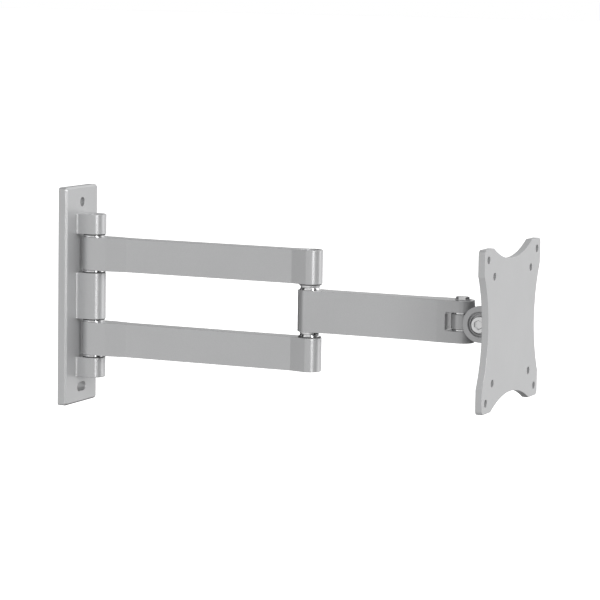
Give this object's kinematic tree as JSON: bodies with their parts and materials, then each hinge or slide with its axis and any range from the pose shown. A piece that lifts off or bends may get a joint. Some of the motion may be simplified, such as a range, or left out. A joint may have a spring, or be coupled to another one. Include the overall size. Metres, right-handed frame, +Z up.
{
  "type": "full motion tv wall mount",
  "caption": "Articulated wall mount: a narrow wall plate, a pair of inner links, a forked outer link, a swivel and tilt head and a square screen plate with hollow sides.",
  "frame": {"origin": "centre of the wall plate's back face, midway up the plate", "axes": "+X straight out from the wall, towards the screen; +Y across the wall; +Z up. At rest both links point straight out and the screen plate is parallel to the wall."},
  "size_m": [0.353, 0.115, 0.165],
  "materials": {
    "plate_silver": "satin silver paint on die-cast aluminium",
    "link_silver": "satin silver-grey paint on die-cast aluminium",
    "bright_plate": "bright chrome plate on turned steel",
    "bolt_steel": "bright nickel plate on steel bolts and nuts",
    "dark_nylon": "dull black nylon",
    "natural_nylon": "natural off-white nylon"
  },
  "bodies": {
    "wall": {"wall_plate": "plate_silver", "wall_pivot_bolts": "bolt_steel", "wall_friction_rings": "dark_nylon"},
    "inner_links": {"upper_link": "link_silver", "lower_link": "link_silver", "wall_steel_washers": "bright_plate", "wall_bushes": "natural_nylon", "elbow_bolt": "bolt_steel", "elbow_nut": "bolt_steel", "elbow_friction_rings": "dark_nylon"},
    "outer_link": {"fork_link": "link_silver", "elbow_bush": "natural_nylon", "elbow_collar_upper": "bright_plate", "elbow_collar_lower": "bright_plate", "swivel_bolt": "bolt_steel", "swivel_nut": "bolt_steel", "swivel_seat_washer": "dark_nylon", "swivel_washers": "bright_plate"},
    "swivel_head": {"swivel_block": "link_silver", "swivel_bush": "natural_nylon", "tilt_bush": "natural_nylon", "tilt_friction_rings": "dark_nylon"},
    "screen_head": {"screen_plate": "plate_silver", "tilt_bolt": "bolt_steel", "tilt_nut": "bolt_steel", "tilt_washers": "bright_plate"}
  },
  "joints": [
    {"name": "wall_swivel", "type": "hinge", "parent": "wall", "child": "inner_links", "pos_m": [0.0175, 0, 0], "axis": [0, 0, 1], "range_deg": [-90, 90]},
    {"name": "elbow_fold", "type": "hinge", "parent": "inner_links", "child": "outer_link", "pos_m": [0.1965, 0, 0], "axis": [0, 0, 1], "range_deg": [-125, 125]},
    {"name": "screen_swivel", "type": "hinge", "parent": "outer_link", "child": "swivel_head", "pos_m": [0.3155, 0, 0], "axis": [0, 0, 1], "range_deg": [-65, 65]},
    {"name": "screen_tilt", "type": "hinge", "parent": "swivel_head", "child": "screen_head", "pos_m": [0.3335, 0, 0], "axis": [0, 1, 0], "range_deg": [-15, 15]}
  ]
}
